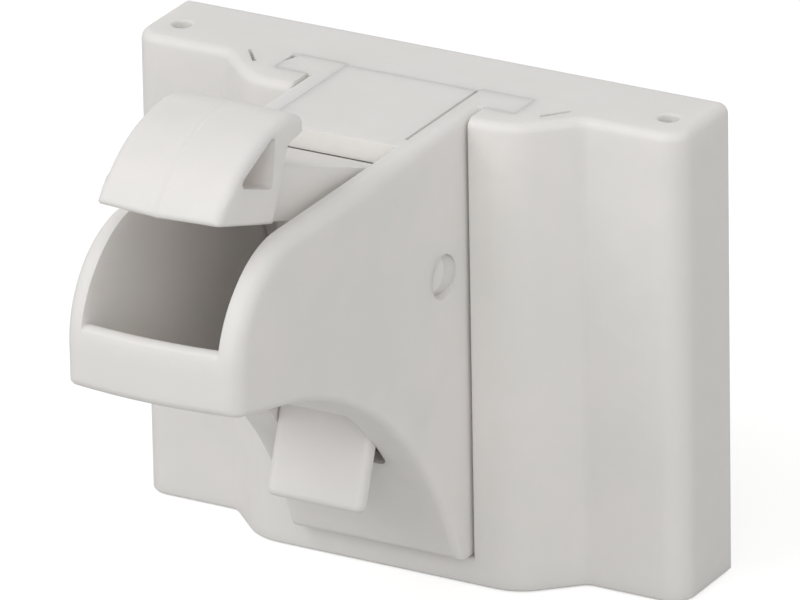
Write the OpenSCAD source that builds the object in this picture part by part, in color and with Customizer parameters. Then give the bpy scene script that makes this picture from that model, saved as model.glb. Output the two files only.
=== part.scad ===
// Cabinet safety lock: a stick-on plate, a latch case that slides into it, and a sprung hook with a magnet.
// X runs across the door, -Y out into the cabinet and +Z up. The origin is the centre of the adhesive face.
// Inside a module, Y is 0 on the back of the plate and Z is 0 on its bottom edge.

/* [Mounting plate] */
// Width of the plate
plate_w = 56; // [52:0.5:64]
// Height of the plate, which is also the level of the case's top
plate_h = 45.2; // [44.8:0.1:45.6]
// Depth of the flat wings, back to front
wing_d = 9; // [8.4:0.1:10.5]
// Depth of the raised middle, back to front
bulge_d = 13.6; // [13.2:0.1:14]
// Width of the flat front of the raised middle
bulge_flat_w = 25; // [23:0.5:28]
// Distance between the two valleys where the raised middle meets the wings
valley_w = 35.6; // [34:0.2:38]
// Wall of the hollow front shell
shell_t = 1.8; // [1.4:0.1:2]
// Radius of the upright corners at the ends of the wings
wing_corner_r = 2.2; // [1:0.1:3]
// Height of the ledge below the case
ledge_h = 2.6; // [2.2:0.1:3]
// Depth from the back to the rear wall of the slot for the case
slot_back = 7.2; // [6.8:0.1:7.4]
// Width of the slot behind the two lips
slot_w = 24.6; // [23:0.2:25]
// Thickness of the two lips that hold the case's flanges
lip_hold_t = 3; // [2.4:0.1:3.4]
// Radius of the small vent holes in the top edge
vent_r = 0.75; // [0.5:0.05:1]
// Distance of each vent hole from the end of the plate
vent_in = 3.1; // [2.6:0.1:4]
// Length of the fine moulding slit beside each valley
slit_len = 2.4; // [1.6:0.1:2.8]

/* [Back panel and adhesive] */
// Thickness of the back panel
panel_t = 1.6; // [1.4:0.1:2]
// Radius of the panel's four pegs
peg_r = 1.4; // [1:0.1:1.8]
// Height of the lower pegs above the plate's bottom edge, and of the upper ones below its top
peg_in = 9; // [7:0.5:12]
// Distance from the foam pad to the plate's rim, all round
pad_edge = 3.8; // [3.2:0.1:6]
// Thickness of the foam pad
pad_t = 1; // [0.8:0.1:1.2]
// How far the pad stands proud of the back
pad_stand = 0.4; // [0.2:0.05:0.6]

/* [Latch case] */
// Outer width of the case
case_w = 17.6; // [17.2:0.1:18.2]
// Thickness of the case's side walls
case_wall = 1.96; // [1.8:0.02:2.06]
// Distance from the plate's back to the front of the case
case_reach = 53.7; // [53.4:0.1:54.6]
// Radius of the round front shoulder of the side walls
shoulder_r = 10; // [8:0.2:11]
// Radius of the hollow curve under the case
cove_r = 41.5; // [41:0.5:44]
// Thickness of the curved floor
floor_t = 2; // [1.8:0.1:2.1]
// How far the foot of the case stands out from the raised middle
foot_out = 1.9; // [1.4:0.1:2.2]
// Height of the front lip's top edge above the plate's bottom edge
lip_top = 37.6; // [37:0.1:37.8]
// Height of the front lip's bottom edge
lip_low = 30.6; // [30.3:0.1:31]
// Thickness of the front lip
front_t = 2; // [1.6:0.1:2.4]
// How far the middle of the front lip bows out past its ends
lip_bow = 0.8; // [0.4:0.1:1]
// Radius of the lip's lower front corner
lip_corner_r = 2.2; // [1.6:0.1:2.6]
// Depth of the flanges that run in the slot
flange_d = 2.8; // [2.4:0.1:2.9]
// Thickness of the snap tongue in the case's top
tongue_t = 2; // [1.7:0.05:2.05]
// Distance from the plate's back to the front of the snap tongue
tongue_front = 22; // [21.6:0.1:22.4]
// Width of the tongue's root, where it joins the side walls
tongue_root = 1.7; // [1.4:0.1:2.4]
// Width of the slots beside the tongue
tongue_slot = 0.3; // [0.2:0.05:0.5]
// Height of the bottom of the switch's window
window_low = 13.9; // [13.6:0.1:14.2]
// Height of the top of the switch's window
window_high = 21.5; // [21.2:0.1:22]

/* [Hook lever] */
// Distance from the plate's back to the lever's pivot
pivot_out = 17.7; // [17.6:0.05:17.9]
// Height of the lever's pivot
pivot_up = 31.5; // [31.4:0.05:31.6]
// Radius of the lever's stub pivots
stub_r = 2.05; // [1.8:0.05:2.3]
// Radius of the hub round the pivot
hub_r = 4.2; // [3.6:0.1:4.3]
// Width of the hook's head
head_w = 12.4; // [11.4:0.1:12.8]
// Width of the lever's arm
arm_w = 10; // [9:0.1:10.8]
// Thickness of the arm
arm_t = 4.2; // [3.6:0.1:4.6]
// Upward slope of the arm's top at rest, in degrees
arm_rise = 20; // [19.5:0.25:20.5]
// How much flatter the arm's underside runs than its top, in degrees
arm_taper = 2.7; // [2.4:0.1:3]
// Distance from the plate's back to the tip of the hook's nose
nose_out = 52.6; // [52.2:0.1:53]
// Distance from the tip of the nose back to the top of the head
crown_in = 11.8; // [11.4:0.1:12]
// Radius of the head's rounded top
head_r = 14.3; // [14:0.1:15]
// Thickness of the barb that hooks behind the strike
barb_t = 1.6; // [1.2:0.1:2]
// Lean of the head's rear face, in degrees
neck_lean = 25; // [20:1:28]
// Length of the barb behind the head's neck
barb_len = 2.5; // [1.6:0.1:2.8]
// Thickness of the web in the middle of the head
web_t = 1.4; // [1:0.1:2]
// How far the head turns down to latch, in degrees
lever_turn = 16.5; // [15:0.5:16.5]
// Distance from the pivot down to the middle of the magnet
magnet_drop = 6.5; // [6.4:0.1:6.7]
// Length of the stop blade below the tail
blade_len = 2.5; // [2.2:0.1:2.6]
// Thickness of the stop blade
blade_t = 1.2; // [1:0.05:1.3]

/* [Magnet] */
// Radius of the magnet
magnet_r = 3.8; // [3.4:0.1:3.9]
// Thickness of the magnet
magnet_t = 3; // [2.4:0.1:3.2]
// Thickness of the cap over the magnet
cap_t = 0.8; // [0.6:0.1:1]

/* [Return spring] */
// Radius of the spring, to the middle of its wire
coil_r = 1.9; // [1.8:0.05:2.1]
// Radius of the spring's wire
wire_r = 0.225; // [0.15:0.025:0.25]
// Number of turns
coil_turns = 4; // [3:1:5]
// Distance from the plate's back to the middle of the spring
spring_out = 27; // [26.6:0.1:27.4]

/* [Locking switch] */
// Width of the switch's tab
tab_w = 9.4; // [8.4:0.1:9.8]
// Length of the tab below its pivot
tab_len = 9.6; // [8.6:0.1:9.9]
// Thickness of the tab
tab_t = 1.8; // [1.4:0.1:1.9]
// Lean of the tab at rest, in degrees
tab_lean = 20; // [18:0.5:22]
// Radius of the switch's hub
hub_switch_r = 2; // [1.8:0.05:2.1]
// Radius of the switch's pegs
peg_switch_r = 1.2; // [0.9:0.05:1.3]
// Distance from the plate's back to the switch's pivot
switch_out = 21.5; // [21.3:0.1:21.7]
// Height of the switch's pivot
switch_up = 20; // [19.9:0.05:20.2]
// How far the switch rocks to lock the hook, in degrees
switch_turn = 22; // [20:0.5:23]

/* [Clearances] */
// Gap between the case and the plate's slot, at the sides
slide_gap = 0.35; // [0.25:0.05:0.45]
// Gap between the case's flanges and the slot, back, front and below
flange_gap = 0.3; // [0.2:0.05:0.4]
// Radial clearance of the stubs and pegs in their bores
pin_gap = 0.05; // [0.03:0.01:0.08]
// Gap round parts that are pressed or glued into a pocket
seat_gap = 0.1; // [0.05:0.05:0.15]

/* [Hidden] */
round_fn = 64;
arc_steps = 12;
// Overrun of cuts past a face
over = 0.9;

// Plate
flank_run = (valley_w - bulge_flat_w) / 2;
mouth_half = case_w / 2 + slide_gap;
slot_front = bulge_d - lip_hold_t;
vent_out = 5.3;
slit_w = 0.3;
slit_d = 1;
slit_in = 2.3;
slit_lean = 51;
rib_out = slot_w / 2 + shell_t;
rib_t = 2.4;
boss_r = peg_r + shell_t;
boss_x = plate_w / 2 - wing_corner_r - boss_r - shell_t;
panel_half = plate_w / 2 - shell_t;
pad_w = plate_w - 2 * pad_edge;
pad_h = plate_h - 2 * pad_edge;
peg_tip = wing_d - shell_t - seat_gap;

// Case
case_back = slot_back + flange_gap;
case_floor = ledge_h + flange_gap;
flange_half = slot_w / 2 - slide_gap;
inner_half = case_w / 2 - case_wall;
lip_bow_r = (pow(case_w / 2, 2) + pow(lip_bow, 2)) / (2 * lip_bow);
tongue_low = plate_h - tongue_t;
foot_y = -(bulge_d + foot_out);
lip_turn_y = -(case_reach - lip_corner_r);
cove_span = [lip_turn_y - foot_y, lip_low - case_floor];
cove_chord = norm(cove_span);
cove_depth = sqrt(pow(cove_r, 2) - pow(cove_chord / 2, 2));
cove_y = (lip_turn_y + foot_y) / 2 - cove_depth * cove_span[1] / cove_chord;
cove_z = (lip_low + case_floor) / 2 + cove_depth * cove_span[0] / cove_chord;
inner_r = cove_r + floor_t;
window_side = 0.15;

// Lever
pivot = [-pivot_out, pivot_up];
hub_gap = 0.4;
arm_gap = 0.15;
arm_top_z = tongue_low - arm_gap;
under_slope = tan(arm_rise - arm_taper);
nose_z = arm_top_z - arm_t + (nose_out - tongue_front) * under_slope;
crown_y = -(nose_out - crown_in);
crown_z = nose_z + head_r - sqrt(pow(head_r, 2) - pow(crown_in, 2));
rear_run = 3.5;
rear_r = head_r / 2;
barb_drop = 0.4;
cheek_tip_shares = [0.66, 0.29];
cheek_r = 0.6;
cup_wall = 1.1;
cup_r = magnet_r + seat_gap + cup_wall;
cup_back = 11.4;
cup_floor = cup_back + cap_t + magnet_t;
tail_back = 12.7;
tail_front = cup_floor + shell_t;
magnet_z = pivot_up - magnet_drop;
tail_low = magnet_z - cup_r;
blade_w = 5;
blade_front = tail_front - 0.5;
ramp_back = 0.9;
ramp_turn = 35;
ramp_fall = 33;

// Spring
spring_y = -spring_out;
seat_r = 2.6;
seat_top = 29;
guide_r = 1.3;
guide_h = 1.5;
foot_z = 37.3;
foot_r = 2.4;
coil_steps = 8;
wire_sides = 6;

// Switch
rock = [-switch_out, switch_up];
tab_front = hub_switch_r - pin_gap;
finger_w = 4;
finger_t = 1.3;
tooth_t = 1.15;
tooth_gap = 0.65;
tooth_reach = 1.8;
leg_t = 2;
pivot_depth = 1.1;

function cove_height(y, r) = cove_z + sqrt(pow(r, 2) - pow(y - cove_y, 2));
function cove_out(z, r) = cove_y + sqrt(pow(r, 2) - pow(z - cove_z, 2));
function turned(p, a) = [p[0] * cos(a) - p[1] * sin(a), p[0] * sin(a) + p[1] * cos(a)];
function arc(c, r, a0, a1) = [for (i = [0:arc_steps]) c + turned([r, 0], a0 + (a1 - a0) * i / arc_steps)];

// Puts a shape drawn from the plate's back and bottom edge into the part's own frame
module placed() {
    translate([0, -pad_stand, -plate_h / 2]) children();
}

// Extrudes a side view, drawn as Y and Z, over the width w about the middle
module across(w) {
    rotate([90, 0, 90]) translate([0, 0, -w / 2]) linear_extrude(w) children();
}

// A cylinder along X about the middle, with its centre at a side-view point
module cross_pin(p, r, w) {
    translate([-w / 2, p[0], p[1]]) rotate([0, 90, 0]) cylinder(r = r, h = w, $fn = round_fn);
}

// A cylinder along Y between two distances out from the plate's back
module out_pin(z, r, near, far) {
    translate([0, -far, z]) rotate([-90, 0, 0]) cylinder(r = r, h = far - near, $fn = round_fn);
}

// Half of the plate's outline from above, on the right: wing, valley, flank and raised middle
function half_plan() = concat(
    [[0, 0], [plate_w / 2, 0]],
    arc([plate_w / 2 - wing_corner_r, -(wing_d - wing_corner_r)], wing_corner_r, 0, -90),
    [for (i = [0:arc_steps])
        [valley_w / 2 - flank_run * i / arc_steps,
            -wing_d - (bulge_d - wing_d) * (1 - cos(180 * i / arc_steps)) / 2]],
    [[0, -bulge_d]]
);

function mirrored(points) = [for (i = [len(points) - 2:-1:1]) [-points[i][0], points[i][1]]];

// Front shell of the plate: slot for the case, hollow back and seats for the panel's pegs
module mounting_plate() color("ivory") placed() difference() {
    linear_extrude(plate_h) polygon(concat(half_plan(), mirrored(half_plan())));
    slot_cut();
    hollow_cut();
    peg_places() out_pin(0, peg_r + seat_gap, -over, peg_tip + seat_gap / 2);
    for (side = [-1, 1]) {
        translate([side * (plate_w / 2 - vent_in), -vent_out, plate_h - shell_t - over])
            cylinder(r = vent_r, h = shell_t + 2 * over, $fn = round_fn);
        slit_cut(side);
    }
}

module slot_cut() {
    translate([-mouth_half, -bulge_d - over, ledge_h])
        cube([2 * mouth_half, bulge_d + over - slot_back, plate_h]);
    translate([-slot_w / 2, -slot_front, ledge_h]) cube([slot_w, slot_front - slot_back, plate_h]);
}

module hollow_cut() {
    hollow_h = plate_h - 2 * shell_t;
    rib_in = rib_out - rib_t;
    translate([-panel_half, -panel_t, shell_t]) cube([2 * panel_half, panel_t + over, hollow_h]);
    translate([-rib_in, -(slot_back - shell_t), shell_t])
        cube([2 * rib_in, slot_back - shell_t + over, hollow_h]);
    difference() {
        for (side = [0, 1]) mirror([side, 0, 0])
            translate([rib_out, -(wing_d - shell_t), shell_t])
                cube([panel_half - rib_out, wing_d - shell_t + over, hollow_h]);
        peg_places() out_pin(0, boss_r, panel_t, wing_d);
    }
}

module peg_places() {
    for (x = [-boss_x, boss_x], z = [peg_in, plate_h - peg_in]) translate([x, 0, z]) children();
}

// Fine moulding slit in the top edge, beside a valley
module slit_cut(side) {
    translate([side * (valley_w / 2 - slit_in), -(wing_d + bulge_d) / 2 + slit_in, plate_h - slit_d])
        rotate([0, 0, side * slit_lean]) translate([-slit_len / 2, -slit_w / 2, 0])
            cube([slit_len, slit_w, slit_d + over]);
}

// Flat panel that closes the hollow back and carries the foam pad
module back_panel() color("ivory") placed() difference() {
    union() {
        translate([-panel_half + seat_gap, -panel_t, shell_t + seat_gap])
            cube([2 * (panel_half - seat_gap), panel_t, plate_h - 2 * (shell_t + seat_gap)]);
        peg_places() out_pin(0, peg_r, panel_t / 2, peg_tip);
    }
    translate([-pad_w / 2 - seat_gap, -(pad_t - pad_stand), (plate_h - pad_h) / 2 - seat_gap])
        cube([pad_w + 2 * seat_gap, pad_t + over, pad_h + 2 * seat_gap]);
}

module adhesive_pad() color("white") placed()
    translate([-pad_w / 2, -(pad_t - pad_stand), (plate_h - pad_h) / 2]) cube([pad_w, pad_t, pad_h]);

// Side view of the case before the hollow curve is taken from below
module case_side() {
    polygon(concat(
        [[-case_back, case_floor], [-case_back, plate_h], [-(case_reach - shoulder_r), plate_h],
            [-(case_reach - shoulder_r), plate_h - shoulder_r], [-case_reach, plate_h - shoulder_r]],
        arc([lip_turn_y, lip_low + lip_corner_r], lip_corner_r, 180, 270),
        [[lip_turn_y, lip_low - floor_t], [foot_y - floor_t, case_floor]]
    ));
    translate([-(case_reach - shoulder_r), plate_h - shoulder_r]) circle(r = shoulder_r, $fn = round_fn);
}

// Side view of the case's hollow, open at the back, at the top and through the front window
module case_hollow() difference() {
    low = case_floor + floor_t;
    inside = -(case_reach - front_t);
    polygon([[over, low], [inside, low], [inside, lip_top], [-(case_reach + over), lip_top],
        [-(case_reach + over), plate_h + over], [-tongue_front, plate_h + over],
        [-tongue_front, tongue_low], [over, tongue_low]]);
    translate([cove_y, cove_z]) circle(r = inner_r, $fn = round_fn);
}

// Front of the lip, bowed out in its middle
module lip_front() {
    turn = [lip_bow_r - lip_corner_r, lip_low + lip_corner_r];
    deep = turn[0] - front_t;
    intersection() {
        translate([0, lip_bow_r - case_reach - lip_bow, 0]) rotate_extrude($fn = 4 * round_fn)
            polygon(concat([[deep, lip_top], [deep, lip_low]], arc(turn, lip_corner_r, -90, 0),
                [[lip_bow_r, lip_top]]));
        translate([-case_w / 2, -(case_reach + lip_bow), 0])
            cube([case_w, lip_bow + lip_corner_r + front_t, plate_h]);
    }
}

module latch_case() color("ivory") placed() difference() {
    union() {
        difference() {
            union() {
                across(case_w) case_side();
                lip_front();
                translate([-flange_half, -(case_back + flange_d), case_floor])
                    cube([2 * flange_half, flange_d, plate_h - case_floor]);
            }
            across(2 * inner_half) case_hollow();
        }
        spring_seat();
    }
    cross_pin([cove_y, cove_z], cove_r, case_w + 2 * over);
    tongue_cuts();
    translate([-(tab_w / 2 + window_side), -case_reach, window_low])
        cube([tab_w + 2 * window_side, case_reach - bulge_d, window_high - window_low]);
    cross_pin(pivot, stub_r + pin_gap, case_w + 2 * over);
    cross_pin(rock, peg_switch_r + pin_gap, 2 * (inner_half + pivot_depth) + pin_gap);
}

// Slots beside the snap tongue, which leave it joined to the side walls at its front only
module tongue_cuts() {
    for (side = [0, 1]) mirror([side, 0, 0])
        translate([inner_half - tongue_slot, -(tongue_front - tongue_root), tongue_low - over])
            cube([tongue_slot, tongue_front - tongue_root, tongue_t + 2 * over]);
}

module spring_seat() {
    low = cove_height(spring_y + seat_r, cove_r);
    translate([0, spring_y, low]) {
        cylinder(r = seat_r, h = seat_top - low, $fn = round_fn);
        cylinder(r = guide_r, h = seat_top + guide_h - low, $fn = round_fn);
    }
}

// Height of the arm's top and of its underside at a given place
function arm_top(y) = arm_top_z - (y + tongue_front) * tan(arm_rise);
function arm_under(y) = nose_z - (y + nose_out) * under_slope;

// Side view of the head: nose, rounded top, barb and neck
module head_side() {
    rear_y = crown_y + rear_run;
    rear_z = crown_z - rear_r + sqrt(pow(rear_r, 2) - pow(rear_run, 2)) - barb_t;
    neck = [rear_y - barb_len, rear_z - barb_drop];
    fall = (neck[1] - arm_under(neck[0])) / (1 + tan(neck_lean) * under_slope);
    root_y = neck[0] - fall * tan(neck_lean);
    polygon(concat(
        arc([crown_y, crown_z - head_r], head_r, 90 + asin(crown_in / head_r), 90),
        arc([crown_y, crown_z - rear_r], rear_r, 90, 90 - asin(rear_run / rear_r)),
        [[rear_y, rear_z], neck, [root_y, arm_under(root_y)]]
    ));
}

// Triangular hollow in each cheek of the head
module cheek_side() {
    tip = [crown_y - crown_in * cheek_tip_shares[0], crown_z - head_r * cheek_tip_shares[1]];
    high = [crown_y - barb_len / 2, crown_z - barb_t / 2];
    low = [crown_y - barb_len, nose_z + cheek_r / 2];
    rounded([tip, low, high], cheek_r);
}

// A polygon whose corners are rounded with the radius r
module rounded(points, r) {
    n = len(points);
    polygon([for (i = [0:n - 1]) each corner(points[(i + n - 1) % n], points[i], points[(i + 1) % n], r)]);
}

function unit(v) = v / norm(v);
function corner(a, b, c, r) =
    let (u = unit(a - b), v = unit(c - b), half = acos(u * v) / 2, mid = unit(u + v),
        centre = b + mid * r / sin(half), start = atan2(-mid[1], -mid[0]), sweep = 90 - half,
        way = u[0] * v[1] - u[1] * v[0] > 0 ? -1 : 1)
    arc(centre, r, start - way * sweep, start + way * sweep);

module arm_side() {
    front = -tongue_front;
    knee = front - hub_r / 2;
    root = crown_y - barb_len;
    polygon([[crown_y, arm_top(crown_y)], [front, arm_top(front)], pivot + turned([hub_r, 0], 80), pivot,
        pivot + turned([hub_r, 0], 159), [knee, arm_under(knee)], [root, arm_under(root)]]);
}

module tail_side() {
    polygon([pivot, [-tail_front, magnet_z + cup_r / 2], [-tail_front, tail_low],
        [-tail_back, tail_low], [-tail_back, pivot_up], pivot + turned([hub_r, 0], 36)]);
}

// The two stub pivots, each with a ramp on its end that lets it snap into its bore
module stubs() difference() {
    cross_pin(pivot, stub_r, case_w);
    for (side = [0, 1]) mirror([side, 0, 0])
        translate([case_w / 2, pivot[0], pivot[1]]) rotate([-ramp_fall, 0, 0]) translate([0, -ramp_back, 0])
            rotate([0, 0, ramp_turn]) translate([0, 0, -2 * stub_r]) cube(4 * stub_r);
}

module latch_lever() color("ivory") placed() difference() {
    union() {
        across(head_w) head_side();
        across(arm_w) arm_side();
        cross_pin(pivot, hub_r, 2 * (inner_half - hub_gap));
        stubs();
        across(2 * cup_r) tail_side();
        out_pin(magnet_z, cup_r, cup_back, tail_back + over);
        translate([-blade_w / 2, -blade_front, tail_low - blade_len])
            cube([blade_w, blade_t, blade_len + over]);
        translate([0, spring_y, foot_z])
            cylinder(r = foot_r, h = arm_under(spring_y) - foot_z + over, $fn = round_fn);
    }
    for (side = [0, 1]) mirror([side, 0, 0])
        translate([web_t / 2, 0, 0]) rotate([90, 0, 90]) linear_extrude(head_w) cheek_side();
    out_pin(magnet_z, magnet_r + seat_gap, cup_back - over, cup_floor);
}

module lever_magnet() color("silver") placed() out_pin(magnet_z, magnet_r, cup_back + cap_t, cup_floor);

module magnet_cap() color("ivory") placed()
    out_pin(magnet_z, magnet_r + seat_gap / 2, cup_back, cup_back + cap_t);

// Spring, as one tube swept along a helix between its seat and the lever's foot
coil_low = seat_top + wire_r;
coil_rise = foot_z - wire_r - coil_low;
coil_rings = coil_turns * coil_steps;
coil_pitch = coil_rise / coil_turns;
coil_lean = atan(coil_pitch / (2 * PI * coil_r));
function coil_middle(i) = [coil_r * cos(360 * i / coil_steps), coil_r * sin(360 * i / coil_steps),
    coil_low + coil_rise * i / coil_rings];
function coil_point(i, j) =
    let (a = 360 * i / coil_steps, b = 360 * j / wire_sides, out = wire_r * cos(b), up = wire_r * sin(b))
    coil_middle(i) + [out * cos(a) + up * sin(coil_lean) * sin(a),
        out * sin(a) - up * sin(coil_lean) * cos(a), up * cos(coil_lean)];

module return_spring() color("silver") placed() translate([0, spring_y, 0]) {
    start = (coil_rings + 1) * wire_sides;
    polyhedron(
        points = concat([for (i = [0:coil_rings], j = [0:wire_sides - 1]) coil_point(i, j)],
            [coil_middle(0), coil_middle(coil_rings)]),
        faces = concat(
            [for (i = [0:coil_rings - 1], j = [0:wire_sides - 1], half = [0, 1])
                let (k = (j + 1) % wire_sides, a = i * wire_sides, b = a + wire_sides)
                half == 0 ? [a + j, b + j, b + k] : [a + j, b + k, a + k]],
            [for (j = [0:wire_sides - 1]) [start, j, (j + 1) % wire_sides]],
            [for (j = [0:wire_sides - 1])
                [start + 1, coil_rings * wire_sides + (j + 1) % wire_sides, coil_rings * wire_sides + j]])
    );
}

coil_gaps = [for (i = [0:coil_rings - coil_steps], j = [0:wire_sides - 1], k = [0:wire_sides - 1])
    norm(coil_point(i + coil_steps, k) - coil_point(i, j))];
echo(least_gap_of_spring_to_itself = min(coil_gaps));

// Side view of the switch's finger and tooth, drawn in the locked place
module finger_side() {
    blade_y = blade_t - blade_front;
    tooth_y = blade_y + tooth_gap;
    top = tail_low - blade_len - hub_gap;
    polygon([rock, [rock[0] + leg_t / 2, top], [tooth_y, top], [tooth_y, top + tooth_reach + hub_gap],
        [tooth_y + tooth_t, top + tooth_reach + hub_gap], [tooth_y + tooth_t, top - finger_t],
        [rock[0] - leg_t / 2, top - finger_t], [rock[0] - leg_t / 2, rock[1]]]);
}

module locking_switch() color("ivory") placed() {
    cross_pin(rock, hub_switch_r, tab_w);
    cross_pin(rock, peg_switch_r, 2 * (inner_half + pivot_depth) - pin_gap);
    across(tab_w) translate(rock) rotate(-tab_lean)
        polygon([[-tab_front, 0], [-tab_front, -tab_len], [tab_t - tab_front, -tab_len], [tab_t - tab_front, 0]]);
    across(finger_w) translate(rock) rotate(-switch_turn) translate(-rock) finger_side();
}

mounting_plate();
back_panel();
adhesive_pad();
latch_case();
latch_lever();
lever_magnet();
magnet_cap();
return_spring();
locking_switch();
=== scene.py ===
import math
import bpy
import bmesh
from mathutils import Matrix, Vector


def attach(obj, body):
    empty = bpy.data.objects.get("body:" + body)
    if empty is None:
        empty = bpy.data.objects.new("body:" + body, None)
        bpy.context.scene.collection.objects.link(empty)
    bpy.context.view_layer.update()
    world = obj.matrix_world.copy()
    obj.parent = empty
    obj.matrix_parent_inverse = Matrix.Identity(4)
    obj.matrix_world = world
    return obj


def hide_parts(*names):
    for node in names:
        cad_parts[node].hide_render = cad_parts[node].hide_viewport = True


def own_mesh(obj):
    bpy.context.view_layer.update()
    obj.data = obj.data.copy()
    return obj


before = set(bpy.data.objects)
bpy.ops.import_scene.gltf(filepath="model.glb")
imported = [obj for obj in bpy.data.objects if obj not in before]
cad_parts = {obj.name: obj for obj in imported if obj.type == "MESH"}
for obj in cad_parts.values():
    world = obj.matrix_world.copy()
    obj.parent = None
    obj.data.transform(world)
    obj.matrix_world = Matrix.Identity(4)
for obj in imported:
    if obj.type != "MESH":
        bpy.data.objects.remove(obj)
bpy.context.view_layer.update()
stage = bpy.context.scene

# White plastic: every moulding of the lock is the same warm off-white resin with a fine satin grain.
# The grain comes off the mould, so it is even, with very slight clouding and a few duller patches.


class Signal:
    """A socket's output on which plain arithmetic adds Math nodes."""

    def __init__(self, wiring, socket):
        self.wiring = wiring
        self.socket = socket

    def calculated(self, operation, first, second):
        return self.wiring.node("ShaderNodeMath", {"operation": operation}, {0: first, 1: second})

    def __add__(self, other):
        return self.calculated("ADD", self, other)

    def __radd__(self, other):
        return self.calculated("ADD", other, self)

    def __sub__(self, other):
        return self.calculated("SUBTRACT", self, other)

    def __rsub__(self, other):
        return self.calculated("SUBTRACT", other, self)

    def __mul__(self, other):
        return self.calculated("MULTIPLY", self, other)

    def __rmul__(self, other):
        return self.calculated("MULTIPLY", other, self)


class Wiring:
    """A node tree to which nodes are added one by one."""

    def __init__(self, tree):
        self.tree = tree

    def node(self, kind, settings, values, output=0):
        """Adds a node with its settings and the values or signals of its sockets."""
        made = self.tree.nodes.new(kind)
        for setting, value in settings.items():
            setattr(made, setting, value)
        for socket, value in values.items():
            if isinstance(value, Signal):
                self.tree.links.new(value.socket, made.inputs[socket])
            else:
                made.inputs[socket].default_value = value
        return Signal(self, made.outputs[output])


class Paint(Wiring):
    """A material, whose patterns are measured in millimetres of the piece that it lies on."""

    def __init__(self, name, **finish):
        self.material = bpy.data.materials.new(name)
        self.material.use_nodes = True
        super().__init__(self.material.node_tree)
        self.shader = self.tree.nodes["Principled BSDF"]
        for socket, value in finish.items():
            self.shader.inputs[socket.replace("_", " ")].default_value = value
        place = self.node("ShaderNodeTexCoord", {}, {}, "Object")
        self.place = self.node("ShaderNodeVectorMath", {"operation": "SCALE"}, {0: place, "Scale": 1000})

    def noise(self, per_mm, detail=2.0, rough=0.5):
        """Soft noise about 0.5, with its cells' number per millimetre."""
        values = {"Vector": self.place, "Scale": per_mm, "Detail": detail, "Roughness": rough}
        return self.node("ShaderNodeTexNoise", {}, values)

    def spread(self, signal, low, high, to_low=0.0, to_high=1.0):
        """Maps the stretch of a signal from low to high onto another stretch, and stops at its ends."""
        values = {0: signal, 1: low, 2: high, 3: to_low, 4: to_high}
        return self.node("ShaderNodeMapRange", {"clamp": True}, values)

    def blend(self, share, first, second):
        """A colour between two, which are given as display values out of 255."""
        values = {"Factor": share, 6: linear(first), 7: linear(second)}
        return self.node("ShaderNodeMix", {"data_type": "RGBA"}, values, 2)

    def feed(self, **signals):
        """Leads signals to the shader's sockets."""
        for socket, signal in signals.items():
            self.tree.links.new(signal.socket, self.shader.inputs[socket.replace("_", " ")])

    def bumped(self, height, depth_mm, strength=1.0):
        """Leads a height signal to the shader as relief of a depth in millimetres."""
        values = {"Height": height, "Distance": depth_mm / 1000, "Strength": strength}
        self.feed(Normal=self.node("ShaderNodeBump", {}, values))


def linear(colour):
    """A display colour out of 255 as the renderer's own values."""
    return tuple((c / 255 / 12.92) if c <= 10 else ((c / 255 + 0.055) / 1.055) ** 2.4 for c in colour) + (1,)


def moulded_plastic(name, warm, cool):
    """Resin that light enters a little, with soft clouds between two tones."""
    plastic = Paint(name, IOR=1.49, Specular_IOR_Level=0.42, Subsurface_Weight=0.4, Subsurface_Scale=0.0025,
                    Subsurface_Radius=(1, 0.93, 0.9))
    cloud = plastic.noise(per_mm=0.09, detail=3)
    patch = plastic.noise(per_mm=0.35, detail=4)
    grain = plastic.noise(per_mm=5.5, detail=3, rough=0.6)
    plastic.feed(Base_Color=plastic.blend(plastic.spread(cloud * 0.7 + patch * 0.3, 0.38, 0.62), warm, cool),
                 Roughness=plastic.spread(patch * 0.6 + grain * 0.4, 0.35, 0.65, to_low=0.44, to_high=0.56))
    plastic.bumped(grain + patch * 0.5, depth_mm=0.006, strength=0.6)
    return plastic.material


white_plastic = moulded_plastic("white_plastic", warm=(245, 241, 238), cool=(241, 239, 235))

# Mounting plate: one moulding with flat wings and a raised middle that holds the slot for the case.
# Its outer edges are rounded in the mould, and the back is left open for the panel.
plate_width = 56
plate_height = 45.2
foam_proud = 0.4


def at(x, y, z):
    """The frame's place for millimetres across, out of the plate's back and up from its bottom edge."""
    return Vector((x, y - foam_proud, z - plate_height / 2)) / 1000


def millimetres(place):
    """The reverse of at: a place in the frame as millimetres across, out of the back and up."""
    return place.x * 1000, place.y * 1000 + foam_proud, place.z * 1000 + plate_height / 2


def arc(middle, radius, start, end, steps=10):
    """Points along an arc, its ends in degrees."""
    turns = [math.radians(start + (end - start) * i / steps) for i in range(steps + 1)]
    return [(middle[0] + radius * math.cos(turn), middle[1] + radius * math.sin(turn)) for turn in turns]


def rounded(corners):
    """An outline through corners given as (first, second, radius), each turned with its own radius."""
    outline = []
    for i, (x, y, radius) in enumerate(corners):
        if not radius:
            outline.append((x, y))
            continue
        corner = Vector((x, y))
        before = (Vector(corners[i - 1][:2]) - corner).normalized()
        after = (Vector(corners[(i + 1) % len(corners)][:2]) - corner).normalized()
        half_angle = before.angle(after) / 2
        inward = (before + after).normalized()
        middle = corner + inward * radius / math.sin(half_angle)
        toward = math.degrees(math.atan2(-inward.y, -inward.x))
        sweep = 90 - math.degrees(half_angle)
        turn = 1 if before.cross(after) < 0 else -1
        outline += arc(middle, radius, toward - turn * sweep, toward + turn * sweep, max(3, round(sweep / 6)))
    return outline


def upright(low, high):
    """Sets an outline of X and Y out at the height low, to be drawn up to high."""
    return (lambda x, y: at(x, y, low)), (0, 0, high - low)


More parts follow.
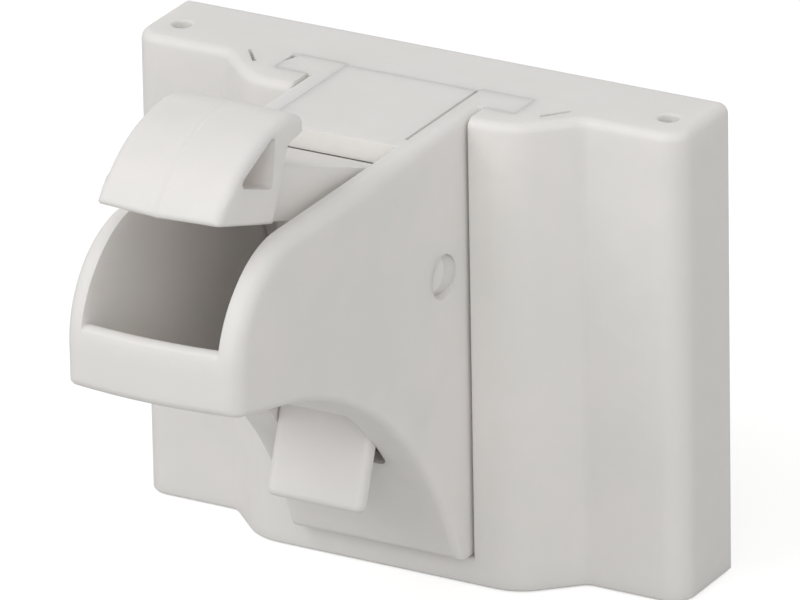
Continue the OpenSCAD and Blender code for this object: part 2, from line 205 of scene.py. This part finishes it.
def across(width):
    """Sets a side view of Y and Z out at the left end of a width, to be drawn over it."""
    return (lambda y, z: at(-width / 2, y, z)), (width, 0, 0)


def outward(near, far):
    """Sets a front view of X and Z out at one distance from the back, to be drawn to another."""
    return (lambda x, z: at(x, -near, z)), (0, near - far, 0)


def block(outline, way):
    """A closed block drawn out from an outline."""
    place, reach = way
    mesh = bmesh.new()
    face = mesh.faces.new([mesh.verts.new(place(*point)) for point in outline])
    drawn = bmesh.ops.extrude_face_region(mesh, geom=[face], use_keep_orig=True)
    bmesh.ops.translate(mesh, verts=[v for v in drawn["geom"] if isinstance(v, bmesh.types.BMVert)],
                        vec=Vector(reach) / 1000)
    bmesh.ops.recalc_face_normals(mesh, faces=mesh.faces)
    return mesh


def brick(x, y, z):
    """A plain block between two values of each direction."""
    return block([(x[0], y[0]), (x[1], y[0]), (x[1], y[1]), (x[0], y[1])], upright(*z))


def rod(radius, start, end, sides=64):
    """A cylinder between two places."""
    mesh = bmesh.new()
    turn = (end - start).to_track_quat("Z", "Y").to_matrix().to_4x4()
    bmesh.ops.create_cone(mesh, cap_ends=True, segments=sides, radius1=radius / 1000, radius2=radius / 1000,
                          depth=(end - start).length, matrix=Matrix.Translation((start + end) / 2) @ turn)
    return mesh


def turned(mesh, turn, place):
    """A mesh made about the zero point, turned by degrees about the upright and set down at a place."""
    mesh.transform(Matrix.Translation(place) @ Matrix.Rotation(math.radians(turn), 4, "Z") @
                   Matrix.Translation(-at(0, 0, 0)))
    return mesh


def blank(mesh):
    """A passing object that holds a mesh while a modifier works on it."""
    data = bpy.data.meshes.new("blank")
    mesh.to_mesh(data)
    mesh.free()
    made = bpy.data.objects.new("blank", data)
    stage.collection.objects.link(made)
    return made


def passed(mesh, kind, other=None, **settings):
    """A mesh as one modifier leaves it."""
    held = [blank(mesh)] + ([blank(other)] if other else [])
    modifier = held[0].modifiers.new(kind.lower(), kind)
    for setting, value in settings.items():
        setattr(modifier, setting, value)
    if other:
        modifier.object = held[1]
    bpy.context.view_layer.update()
    result = bmesh.new()
    result.from_mesh(held[0].evaluated_get(bpy.context.evaluated_depsgraph_get()).data)
    for made in held:
        data = made.data
        bpy.data.objects.remove(made)
        bpy.data.meshes.remove(data)
    return result


weld = 2e-6


def cleaned(mesh):
    """A mesh with its doubled points joined and its flat faces made one."""
    bmesh.ops.remove_doubles(mesh, verts=mesh.verts, dist=weld)
    bmesh.ops.dissolve_limit(mesh, angle_limit=math.radians(0.3), verts=mesh.verts, edges=mesh.edges)
    return mesh


def cut(mesh, *tools):
    """A mesh with the tools taken out of it."""
    for tool in tools:
        mesh = passed(mesh, "BOOLEAN", tool, operation="DIFFERENCE", solver="EXACT")
    return cleaned(mesh)


def joined(mesh, *others):
    """Several meshes made one closed body."""
    for other in others:
        mesh = passed(mesh, "BOOLEAN", other, operation="UNION", solver="EXACT")
    return cleaned(mesh)


def eased(mesh, radius, share, segments=5, sharp=30, clamp=False):
    """Rounds a mesh's sharp edges, each by the share of the radius that is given for its middle."""
    weight = mesh.edges.layers.float.get("bevel_weight_edge")
    weight = weight or mesh.edges.layers.float.new("bevel_weight_edge")
    for edge in mesh.edges:
        middle = (edge.verts[0].co + edge.verts[1].co) / 2
        sharp_here = edge.is_manifold and edge.calc_face_angle() > math.radians(sharp)
        edge[weight] = share(*millimetres(middle)) if sharp_here else 0
    mesh = passed(mesh, "BEVEL", limit_method="WEIGHT", width=radius / 1000, segments=segments,
                  use_clamp_overlap=clamp, harden_normals=False)
    bmesh.ops.remove_doubles(mesh, verts=mesh.verts, dist=weld)
    return mesh


def piece(name, mesh, body, material, slot, *stands_for):
    """Puts a finished mesh into the scene on its body, in place of the CAD nodes that it stands for."""
    bmesh.ops.recalc_face_normals(mesh, faces=mesh.faces)
    for face in mesh.faces:
        face.smooth = True
    for edge in mesh.edges:
        if edge.is_manifold and edge.calc_face_angle() > math.radians(35):
            edge.smooth = False
    data = bpy.data.meshes.new(name)
    mesh.to_mesh(data)
    mesh.free()
    if "bevel_weight_edge" in data.attributes:
        data.attributes.remove(data.attributes["bevel_weight_edge"])
    made = bpy.data.objects.new(name, data)
    stage.collection.objects.link(made)
    made.modifiers.new("even_shading", "WEIGHTED_NORMAL").keep_sharp = True
    data.materials.append(material)
    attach(made, body)
    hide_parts(*stands_for)
    return made


past = 60
near = 0.1
hair = 0.01
stock = 2
wing_depth = 9
middle_depth = 13.6
corner_radius = 2.3
valley_out = 18.82
valley_radius = 1.4
valley_slope = 42
middle_out = 11.21
middle_radius = 5.5
rim_round = 0.9
bottom_share = 0.3
half = [(plate_width / 2, stock)]
half += arc((plate_width / 2 - corner_radius, -(wing_depth - corner_radius)), corner_radius, 0, -90, 8)
half += arc((valley_out, -(wing_depth + valley_radius)), valley_radius, 90, 90 + valley_slope, 6)
half += arc((middle_out, -(middle_depth - middle_radius)), middle_radius, valley_slope - 90, -90, 10)
plate = block(half + [(-x, y) for x, y in reversed(half)], upright(0, plate_height))
plate = eased(plate, rim_round, lambda x, y, z: 1 if z > 40 else bottom_share if z < 5 else 0, sharp=60)

slit_length = 2.9
slit_width = 0.34
slit_depth = 1
slit_out = 15.5
slit_turn = 51
slit_sides = (-slit_length / 2, slit_length / 2), (-slit_width / 2, slit_width / 2)
slits = [turned(brick(*slit_sides, (plate_height - slit_depth, past)), side * slit_turn,
                at(side * slit_out, -wing_depth, 0)) for side in (-1, 1)]

ledge = 2.6
slot_left = -8.94
slot_right = 9.05
slot_back = 7.3
groove_out = 12.3
groove_front = 10.5
groove_back = 7.25
relief_in = 6.8
relief_front = 9
relief_back = 6.85
relief_low = 43.5
wall = 1.8
panel_thickness = 1.6
panel_seat = plate_width / 2 - wall
hollow_out = 11.7
hollow_deep = 5.4
plate = cut(
    plate,
    brick((-past, past), (0, past), (-past, past)),
    brick((slot_left, slot_right), (-past, -slot_back), (ledge, past)),
    brick((-groove_out, groove_out), (-groove_front, -groove_back), (ledge + hair, past)),
    brick((hair - groove_out, -relief_in), (-relief_front, -relief_back), (relief_low, past)),
    brick((relief_in, groove_out - hair), (-relief_front, -relief_back), (relief_low, past)),
    brick((-panel_seat, panel_seat), (-panel_thickness, past), (wall, plate_height - wall)),
    brick((-hollow_out, hollow_out), (-hollow_deep, past), (wall + hair, plate_height - wall - hair)),
)
well_in = 14.1
well_wall = 2
vent_radius = 0.95
vent_out = 24.9
vent_deep = 5.3
for side in (-1, 1):
    well = sorted((side * well_in, side * (plate_width / 2 - well_wall)))
    vent_foot = at(side * vent_out, -vent_deep, plate_height - 2 * well_wall)
    vent_top = at(side * vent_out, -vent_deep, past)
    plate = cut(plate, brick(well, (wall - wing_depth, past), (well_wall, plate_height - well_wall)),
                rod(vent_radius, vent_foot, vent_top, 32))

peg_out = 20.8
peg_in = 9
boss_radius = 3.2
boss_root = 8
boss_end = 1.65
bore_radius = 1.5
bore_end = 7.15
slot_round = 0.4
slot_front = 13
slot_share = 0.62
vent_share = 0.44
peg_places = [(x, z) for x in (-peg_out, peg_out) for z in (peg_in, plate_height - peg_in)]
bosses = [rod(boss_radius, at(x, -boss_root, z), at(x, -boss_end, z), 32) for x, z in peg_places]
bores = [rod(bore_radius, at(x, -bore_end, z), at(x, stock, z), 32) for x, z in peg_places]
plate = cut(joined(plate, *bosses), *slits, *bores)


def slot_edge(x, y, z):
    """How much of the full rounding an edge about the plate's slot and vents gets."""
    if z < plate_height - near or y > -1:
        return slot_share if y < -slot_front and abs(x) < 10 else 0
    if abs(x) > peg_out:
        return vent_share
    if y < -groove_front - near and abs(x - slot_right) < near:
        return slot_share
    return 1 if y > -relief_back - near and relief_in + near < abs(x) < groove_out + near else 0


plate = eased(plate, slot_round, slot_edge, 3, 40)
piece("plate_shell", plate, "base", white_plastic, "white_plastic", "mounting_plate")

# Latch case: a second moulding that slides down into the plate's slot.
# Two cheeks, a hollow curved underside, a front lip and a snap tongue in the top are one piece.
case_width = 17.6
cheek = 1.96
sheet = 2
inner_width = case_width - 2 * cheek
case_back = 7.5
case_foot = 2.9
case_reach = 53.7
shoulder = 10
lip_low = 31.65
lip_top = 36.5
lip_round = 0.9
lip_bow = 0.78
cove = (-54.68, -10.78)
cove_radius = 41.5
cove_start = 78.6
foot_turn = math.degrees(math.asin((case_foot - cove[1]) / cove_radius))
side_view = [(-case_back, case_foot), (-case_back, plate_height)]
side_view += arc((-(case_reach - shoulder), plate_height - shoulder), shoulder, 90, 180, 24)
side_view += [(-case_reach, lip_low)]
side_view += arc(cove, cove_radius, cove_start, foot_turn, 38)
case = block(side_view, across(case_width))
cheek_round = 1.5
cheek_round_behind = 0.7
low_share = 0.5


def cheek_edge(x, y, z):
    """How much of the full rounding an outer edge of the case gets."""
    if y > -case_back - near:
        return 0
    if abs(x) < case_width / 2 - near:
        return low_share if z < lip_low + near else 0
    return 0 if z < case_foot + near else 1 if z > lip_low + near else low_share


def climb(distance, length):
    """A share that climbs from 0 to 1 while a distance goes from 0 to a length."""
    return min(max(distance / length, 0), 1)


def sliced(mesh, place, across_way):
    """Adds the points where a plane passes through a mesh."""
    everything = mesh.verts[:] + mesh.edges[:] + mesh.faces[:]
    bmesh.ops.bisect_plane(mesh, geom=everything, plane_co=place, plane_no=across_way)


narrow_from = 31
narrow_over = 15
case = eased(case, cheek_round, cheek_edge, 6, 40)
for y in range(-narrow_from, narrow_over - narrow_from + 1, 3):
    sliced(case, at(0, y, 0), (0, 1, 0))
for point in case.verts:
    x, y, z = millimetres(point.co)
    over = abs(x) - (case_width / 2 - cheek_round)
    up = z - (plate_height - cheek_round)
    if y > -narrow_from - 1 and over > -hair and up > -hair and math.hypot(over, up) > 0.9 * cheek_round:
        tighter = 0.5 - 0.5 * math.cos(math.pi * climb(y + narrow_from, narrow_over))
        gain = (cheek_round - cheek_round_behind) * tighter
        point.co.x += math.copysign(gain * (1 - over / cheek_round), x) / 1000
        point.co.z += gain * (1 - up / cheek_round) / 1000

flange_out = 12.28
flange_front = 10.49
flange_back = 7.28
flange_cut = (11.6, 9.1)
flange_view = [(-flange_out, -flange_front), (flange_out, -flange_front), (flange_out, -flange_back),
               (-flange_cut[0], -flange_back), (-flange_out, -flange_cut[1])]
flange = block(flange_view, upright(case_foot + 0.05, plate_height - hair / 2))
cap_in = 6.82
cap_out = 12.26
cap_front = 7.31
cap_back = 6.87
cap_low = 43.6
flange_caps = [brick(sides, (-cap_front, -cap_back), (cap_low, plate_height - hair / 2))
               for sides in ((-cap_out, -cap_in), (cap_in, cap_out))]

tongue_front = 22
tongue_low = plate_height - sheet - 0.04
inside = [(stock, case_foot + sheet), (-40, case_foot + sheet), (-(case_reach - 2 * lip_round), 20)]
inside += arc((-(case_reach - lip_round), lip_top), lip_round, 0, 172, 9)
inside += [(-past, lip_top + 0.1), (-past, past), (-tongue_front, past)]
inside += [(-tongue_front, tongue_low), (stock, tongue_low)]
hollow = cut(block(inside, across(inner_width)),
             rod(cove_radius + sheet, at(-past, *cove), at(past, *cove), 160))

spring_out = 27
spring_low = 29
spring_high = 37.3
seat_radius = 2.6
spigot_radius = 1.3
spigot_height = 1.5
seat = cut(rod(seat_radius, at(0, -spring_out, 19), at(0, -spring_out, spring_low)),
           rod(cove_radius + sheet / 2, at(-past, *cove), at(past, *cove), 160))
spigot_top = at(0, -spring_out, spring_low + spigot_height)
spigot = rod(spigot_radius, at(0, -spring_out, spring_low - 1), spigot_top)

window_out = 4.87
window_low = 13.9
window_high = 21.5
window_round = 0.9
window = rounded([(-window_out, window_low, window_round), (window_out, window_low, window_round),
                  (window_out, window_high, 0), (-window_out, window_high, 0)])
pivot = (-17.7, 31.5)
pivot_bore = 2.1
hinge = (-21.5, 20)
hinge_bore = 1.25
hinge_reach = 7.95
tongue_end = 20.3
tongue_left = (-6.7, -6.67)
tongue_right = (6.54, 6.84)
case = cut(joined(case, flange, *flange_caps), hollow)
case = cut(
    joined(case, seat, spigot),
    block(window, outward(middle_depth + near, past)),
    rod(pivot_bore, at(-20, *pivot), at(20, *pivot)),
    rod(hinge_bore, at(-hinge_reach, *hinge), at(hinge_reach, *hinge), 32),
    brick(tongue_left, (-tongue_end, -5), (42, past)),
    brick(tongue_right, (-tongue_end, -5), (42, past)),
)
tongue_round = 0.5
case = eased(case, tongue_round, lambda x, y, z: 1 if y < -21 and z > 44 and abs(x) < 6.6 else 0, 4, 40)
for x in range(-8, 9, 2):
    sliced(case, at(x, 0, 0), (1, 0, 0))
for point in case.verts:
    x, y, z = millimetres(point.co)
    share = climb(-49.5 - y, 2) * climb(43 - z, 5)
    point.co.y -= lip_bow * (1 - (x / (case_width / 2)) ** 2) * share / 1000
piece("case_shell", case, "case", white_plastic, "white_plastic", "latch_case")

# Hook lever: a third moulding that rocks on two stubs in the case's cheeks.
# It has a broad hooked head with a hollow in each cheek, an arm, and a tail with a cup for the magnet.
head_width = 12.4
crown = (-40.8, 54.6)
head_radius = 14.3
head_middle = (crown[0], crown[1] - head_radius)
rear_radius = head_radius / 2
nose = (-52.6, 48.4)
barb = (-37.3, 52.15)
neck = (-39.8, 51.7)
throat = (-42.8, 45.32)
nose_angle = 90 + math.degrees(math.asin((crown[0] - nose[0]) / head_radius))
head_view = arc(head_middle, head_radius, nose_angle, nose_angle, 1)[:1]
head_view += arc(head_middle, head_radius, nose_angle - 8, 90, 15)
head_view += arc((crown[0], crown[1] - rear_radius), rear_radius, 86, 61, 4)
head_view += [barb, neck, throat]
head = block(head_view, across(head_width))


def from_middle(y, z):
    """How far a point lies from the middle of the head's round top."""
    return math.hypot(y - head_middle[0], z - head_middle[1])


head_round = 0.9
under_share = 0.4
neck_share = 0.3
nose_share = 0.75
barb_share = 0.2


def head_edge(x, y, z):
    """How much of the full rounding an edge of the head gets."""
    if abs(x) < head_width / 2 - near:
        return nose_share if y < nose[0] + near else barb_share if z > neck[1] - near else 0
    if from_middle(y, z) > head_radius - 0.7:
        return 1
    return under_share if y < throat[0] - near else neck_share


ridge_out = 0.3
ridge_share = 0.3
fall_at_crown = 0.15
fall_at_nose = 0.4
fall_width = 5.5
nose_bow = 0.43
head = eased(head, head_round, head_edge, 5, 25)
for x in (-ridge_out, 0, ridge_out):
    sliced(head, at(x, 0, 0), (1, 0, 0))
for point in head.verts:
    x, y, z = millimetres(point.co)
    if from_middle(y, z) > 11.8:
        away = Vector((0, y - head_middle[0], z - head_middle[1])).normalized()
        fall = fall_at_crown + (fall_at_nose - fall_at_crown) * climb(-38 - y, 6)
        share = min(abs(x) / fall_width, 1) if abs(x) > hair else ridge_share
        point.co -= away * fall * share / 1000
    x, y, z = millimetres(point.co)
    if z < 50:
        point.co.z += nose_bow * abs(x) / (head_width / 2) * climb(-46 - y, 6.6) / 1000

web = 1.4
pocket_reach = 8
pocket_round = 0.5
pocket_corners = ((-48.7, 50.8), (-42.8, 48.6), (-42, 53.6))
pocket_view = rounded([(*corner, pocket_round) for corner in pocket_corners])
pockets = []
for side in (-1, 1):
    pocket = block(pocket_view, across(pocket_reach))
    pocket.transform(Matrix.Translation((side * (web + pocket_reach) / 2 / 1000, 0, 0)))
    pockets.append(pocket)
head = cut(head, *pockets)

hub_radius = 4.2
hub_width = 12.88


def beside(angle):
    """A point on the rim of the hub."""
    turn = math.radians(angle)
    return (pivot[0] + hub_radius * math.cos(turn), pivot[1] + hub_radius * math.sin(turn))


arm_width = 10
arm_flare = 0.32
flare_from = 43.3
flare_to = 22
arm_view = [(crown[0], 49.89), (-flare_to, 43.07), beside(80), pivot]
arm_view += [beside(159), (-24.1, 39.5), (-flare_from, 45.48)]
arm = block(arm_view, across(arm_width))
sliced(arm, at(0, -flare_to, 0), (0, 1, 0))
for point in arm.verts:
    point.co.x *= 1 + arm_flare * climb(millimetres(point.co)[1] + flare_from, flare_from - flare_to)

stub_radius = 2.05
magnet_up = 25
cup_radius = 5
cup_bore = 3.9
cup_back = 13.6
cup_mouth = 11.4
magnet_front = 15.2
tail_front = 17
tail_back = 12.7
tail_foot = 20
tail_view = [pivot, (-tail_front, 27.5), (-tail_front, tail_foot)]
tail_view += [(-tail_back, tail_foot), (-tail_back, pivot[1]), beside(36)]
blade_width = 5
blade_front = 16.5
blade_foot = 17.5
blade = brick((-blade_width / 2, blade_width / 2), (-blade_front, -15.3), (blade_foot, tail_foot + 0.9))
spring_boss = rod(2.4, at(0, -spring_out, spring_high), at(0, -spring_out, 42))
lever = joined(
    head,
    arm,
    rod(hub_radius, at(-hub_width / 2, *pivot), at(hub_width / 2, *pivot)),
    rod(stub_radius, at(-case_width / 2, *pivot), at(case_width / 2, *pivot)),
    block(tail_view, across(arm_width)),
    rod(cup_radius, at(0, -cup_back, magnet_up), at(0, -cup_mouth, magnet_up)),
    blade,
    spring_boss,
)
scoop_block = ((0, 4), (-6, 0), (-3, 3))
scoop_turn = -34
scoop_edge = (-15.75, 31.5)
scoop_crest = (-19.37, 32.42)
scoop_radius = 1.67
scoops = []
for side in (-1, 1):
    scoop = turned(brick(*scoop_block), scoop_turn, at(case_width / 2, *scoop_edge))
    scoop = cut(scoop, rod(scoop_radius, at(5, *scoop_crest), at(15, *scoop_crest), 48))
    scoop.transform(Matrix.Diagonal((side, 1, 1, 1)))
    bmesh.ops.recalc_face_normals(scoop, faces=scoop.faces)
    scoops.append(scoop)
lever = cut(lever, rod(cup_bore, at(0, -magnet_front, magnet_up), at(0, -5, magnet_up)), *scoops)
lever_round = 0.25
pocket_share = 0.8


def lever_edge(x, y, z):
    """How much of the full rounding an edge of the joined lever gets."""
    return 1 if y > -41 and z < 50 else pocket_share if abs(x) > 6 else 0


lever = eased(lever, lever_round, lever_edge, 3, 35, True)
for edge in lever.edges:
    x, y, z = millimetres((edge.verts[0].co + edge.verts[1].co) / 2)
    if abs(x) < ridge_out + hair and from_middle(y, z) > 13:
        edge.smooth = False
piece("hook_lever", lever, "lever", white_plastic, "white_plastic", "latch_lever")

# Locking switch: a small moulding that rocks on two pegs in the case's cheeks.
# Its tab is pressed from below by the hand, and its finger inside stands in the way of the lever's blade.
tab_width = 9.68
tab_length = 9.95
tab_front = 1.95
tab_back = 0.15
tab_lean = -20
tab_round = 0.65


def leaned(points, turn):
    """Side-view points about the switch's hinge, turned by some degrees."""
    c, s = math.cos(math.radians(turn)), math.sin(math.radians(turn))
    return [(hinge[0] + y * c - z * s, hinge[1] + y * s + z * c) for y, z in points]


tab_view = [(-tab_front, 0), (-tab_front, -tab_length), (-tab_back, -tab_length), (-tab_back, 0)]
tab = block(leaned(tab_view, tab_lean), across(tab_width))
tab = eased(tab, tab_round, lambda x, y, z: 1 if abs(x) > 4.7 and z < 19.4 or z < 12.2 else 0, 5, 40)
barrel_radius = 2
barrel_reach = 4.75
pin_radius = 1.2
pin_reach = 7.9
barrel = rod(barrel_radius, at(-barrel_reach, *hinge), at(barrel_reach, *hinge))
pins = rod(pin_radius, at(-pin_reach, *hinge), at(pin_reach, *hinge), 32)
finger_lean = -22
finger_width = 4
finger_view = [(0, 0), (1, -2.9), (6.9, -2.9), (6.9, -0.7), (8, -0.7), (8, -4.2), (-1, -4.2), (-1, 0)]
finger = block(leaned(finger_view, finger_lean), across(finger_width))
switch = joined(joined(tab, barrel, pins), finger)
piece("locking_switch_tab", switch, "switch", white_plastic, "white_plastic", "locking_switch")

# Return spring: a coil of thin spring steel wire with closed ends, which pushes the hook's arm up.
# It stands on a seat in the case. In the real lock it is pressed short as the hook goes down; this coil keeps
# its length.
wire = 0.225
coil = 1.9
coil_low = spring_low + wire
coil_high = spring_high - wire
end_turns = 0.8
end_rise = 0.42
open_turns = 4
steel = Paint("spring_steel", Metallic=1.0)
steel_streak = steel.noise(per_mm=2.2, detail=3, rough=0.6)
steel.feed(Base_Color=steel.blend(steel.spread(steel_streak, 0.35, 0.65), (176, 175, 174), (150, 150, 152)),
           Roughness=steel.spread(steel_streak, 0.3, 0.7, to_low=0.22, to_high=0.38))
steel.bumped(steel.noise(per_mm=9, detail=2), depth_mm=0.004, strength=0.5)
spring = bmesh.new()
wire_place = Matrix.Translation(at(coil, -spring_out, coil_low)) @ Matrix.Rotation(math.pi / 2, 4, "X")
bmesh.ops.create_circle(spring, segments=12, radius=wire / 1000, matrix=wire_place)
ring = spring.edges[:]
open_rise = coil_high - coil_low - 2 * end_rise
for turns, rise in ((end_turns, end_rise), (open_turns, open_rise), (end_turns, end_rise)):
    steps = round(turns * 32)
    spun = bmesh.ops.spin(spring, geom=ring, cent=at(0, -spring_out, 0), axis=(0, 0, 1),
                          dvec=(0, 0, rise / steps / 1000), angle=2 * math.pi * turns, steps=steps,
                          use_merge=False, use_duplicate=False)
    ring = [part for part in spun["geom_last"] if isinstance(part, bmesh.types.BMEdge)]
bmesh.ops.remove_doubles(spring, verts=spring.verts, dist=1e-7)
bmesh.ops.holes_fill(spring, edges=[edge for edge in spring.edges if edge.is_boundary], sides=0)
spring = piece("spring_coil", spring, "case", steel.material, "spring_steel", "return_spring")
at(0, -spring_out, spring_low)
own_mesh(spring)

# Magnet: a nickel-plated disc in the cup of the hook's tail, with the bevelled rim of a pressed magnet.
# It is pulled by the key outside the door, which turns the hook down.
magnet_radius = 3.8
magnet_back = 12.2
magnet_round = 0.35
nickel = Paint("magnet_nickel", Metallic=1.0)
nickel_cloud = nickel.noise(per_mm=0.7, detail=4)
nickel_speck = nickel.noise(per_mm=7, detail=3, rough=0.6)
nickel_wear = nickel_cloud * 0.5 + nickel_speck * 0.5
nickel_tone = nickel.spread(nickel_cloud, 0.35, 0.65)
nickel.feed(Base_Color=nickel.blend(nickel_tone, (206, 203, 196), (184, 182, 178)),
            Roughness=nickel.spread(nickel_wear, 0.35, 0.65, to_low=0.18, to_high=0.34))
nickel.bumped(nickel_speck, depth_mm=0.004, strength=0.4)
magnet = rod(magnet_radius, at(0, -magnet_front, magnet_up), at(0, -magnet_back, magnet_up))
magnet = eased(magnet, magnet_round, lambda x, y, z: 1, 3, 40)
piece("magnet_disc", magnet, "lever", nickel.material, "magnet_nickel", "lever_magnet")

# Magnet cap: a thin disc of the same resin as the lever.
# It is pressed into the mouth of the cup and holds the magnet in.
cap_radius = 3.85
cap_round = 0.2
cap = rod(cap_radius, at(0, -magnet_back, magnet_up), at(0, -cup_mouth, magnet_up))
cap = eased(cap, cap_round, lambda x, y, z: 1, 3, 40)
piece("magnet_cap_disc", cap, "lever", white_plastic, "white_plastic", "magnet_cap")

# Back panel: a flat moulding that closes the plate's hollow back.
# Its four pegs are pressed into the plate, and a shallow recess takes the foam.
panel_play = 0.1
panel_round = 0.3
recess_out = 24.3
recess_in = 3.7
recess_deep = 0.6
recess_round = 0.12
peg_radius = 1.4
peg_end = 7.1
panel_out = panel_seat - panel_play
panel_low = wall + panel_play
panel = brick((-panel_out, panel_out), (-panel_thickness, 0), (panel_low, plate_height - panel_low))
panel = eased(panel, panel_round, lambda x, y, z: 1 if y > -0.2 or abs(y + 0.8) < 0.2 else 0, 3, 40)
recess = brick((-recess_out, recess_out), (-recess_deep, past), (recess_in, plate_height - recess_in))
panel = cut(panel, recess)
panel = joined(panel, *[rod(peg_radius, at(x, -peg_end, z), at(x, -1.2, z), 32) for x, z in peg_places])
panel = eased(panel, recess_round,
              lambda x, y, z: 1 if y > -0.1 and abs(x) < 24.6 and 3.4 < z < 41.8 else 0, 2, 40)
piece("back_panel_plate", panel, "base", white_plastic, "white_plastic", "back_panel")

# Foam pad: a die-cut sheet of white closed-cell foam with adhesive on both faces.
# Its corners are cut round, and its cells show as a fine dimpled skin.
pad_out = 24.2
pad_in = 3.8
pad_corner = 1.6
pad_round = 0.12
foam = Paint("foam", IOR=1.45, Specular_IOR_Level=0.25)
foam_cloud = foam.noise(per_mm=0.25, detail=3)
foam_cells = foam.node("ShaderNodeTexVoronoi", {"feature": "F1"},
                       {"Vector": foam.place, "Scale": 2.6, "Randomness": 1.0})
foam_tone = foam.spread(foam_cloud * 0.5 + foam_cells * 0.5, 0.3, 0.8)
foam.feed(Base_Color=foam.blend(foam_tone, (240, 239, 235), (216, 215, 210)),
          Roughness=foam.spread(foam_cells, 0, 0.7, to_low=0.62, to_high=0.85))
foam.bumped(foam_cells, depth_mm=0.05, strength=0.8)
pad_low = pad_in
pad_high = plate_height - pad_in
pad_view = rounded([(-pad_out, pad_low, pad_corner), (pad_out, pad_low, pad_corner),
                    (pad_out, pad_high, pad_corner), (-pad_out, pad_high, pad_corner)])
pad = block(pad_view, outward(-foam_proud, recess_deep))
pad = eased(pad, pad_round, lambda x, y, z: 1, 2, 40)
piece("foam_pad", pad, "base", foam.material, "foam", "adhesive_pad")

# Studio: the lock stands on a pale floor in a white room. A large soft box to the left gives most of the
# light, a second one to the right fills, and a card of light at the far right lifts the plate's end.


def lamp(name, place, power):
    """A square soft light that looks at the lock."""
    data = bpy.data.lights.new(name, "AREA")
    data.shape = "SQUARE"
    data.size = 1.1
    data.energy = power
    made = bpy.data.objects.new(name, data)
    toward = Vector(place)
    made.matrix_world = Matrix.Translation(toward) @ toward.to_track_quat("Z", "Y").to_matrix().to_4x4()
    stage.collection.objects.link(made)


lamp("soft_box", (-0.69, -0.96, 1.07), 7.7)
lamp("fill", (0.687, -1.2, 0.584), 4.3)
lamp("side_card", (1.45, -0.35, 0.55), 1.5)
level_of_room = 0.48
level_seen = 1
world = bpy.data.worlds.new("white_room")
world.use_nodes = True
room = Wiring(world.node_tree)
seen = 0
for ray in ("Is Camera Ray", "Is Glossy Ray", "Is Transmission Ray"):
    shown = room.node("ShaderNodeLightPath", {}, {}, ray)
    seen = room.node("ShaderNodeMath", {"operation": "MAXIMUM"}, {0: seen, 1: shown})
strength = room.node("ShaderNodeMapRange", {}, {0: seen, 3: level_of_room, 4: level_seen})
backdrop = world.node_tree.nodes["Background"]
world.node_tree.links.new(strength.socket, backdrop.inputs["Strength"])
backdrop.inputs["Color"].default_value = (1, 1, 1, 1)
stage.world = world
stage.view_settings.view_transform = "Standard"

floor_gap = 0.1
floor_half = 3
paper = Paint("floor_paper", Roughness=0.9, Specular_IOR_Level=0.1, Emission_Strength=1)
paper_cloud = paper.spread(paper.noise(per_mm=0.004, detail=2), 0.3, 0.7)
camera_sees = paper.node("ShaderNodeLightPath", {}, {}, "Is Camera Ray")
paper.feed(Base_Color=paper.blend(paper_cloud, (205, 205, 204), (202, 202, 201)),
           Emission_Color=paper.blend(camera_sees, (0, 0, 0), (210, 210, 210)))
ground = bmesh.new()
bmesh.ops.create_grid(ground, x_segments=8, y_segments=8, size=floor_half,
                      matrix=Matrix.Translation((0, 0, -(plate_height / 2 + floor_gap) / 1000)))
ground_data = bpy.data.meshes.new("floor")
ground.to_mesh(ground_data)
ground.free()
ground_data.materials.append(paper.material)
floor = bpy.data.objects.new("floor", ground_data)
stage.collection.objects.link(floor)

# Camera: in front of the lock, to its right and above it, with a long lens, as the photographer had it.
# Its angles and distance put the plate's and the case's edges where the photograph has them.
camera_azimuth = math.radians(29.783)
camera_elevation = math.radians(22.906)
camera_roll = math.radians(-1.041)
camera_distance = 1.05415
aim = Vector((0, -0.0154, -0.0016))
aim_right = 0.002304
aim_up = 0.005152
photo_width = 800
focal_pixels = 11791
back = Vector((math.sin(camera_azimuth) * math.cos(camera_elevation),
               -math.cos(camera_azimuth) * math.cos(camera_elevation), math.sin(camera_elevation)))
level = Vector((math.cos(camera_azimuth), math.sin(camera_azimuth), 0))
head_up = back.cross(level)
right = math.cos(camera_roll) * level + math.sin(camera_roll) * head_up
up = math.cos(camera_roll) * head_up - math.sin(camera_roll) * level
eye = aim + back * camera_distance + right * aim_right + up * aim_up
camera_data = bpy.data.cameras.new("camera")
camera_data.sensor_width = 36
camera_data.lens = focal_pixels * camera_data.sensor_width / photo_width
camera = bpy.data.objects.new("camera", camera_data)
camera.matrix_world = Matrix.Translation(eye) @ Matrix((right, up, back)).transposed().to_4x4()
stage.collection.objects.link(camera)
stage.camera = camera
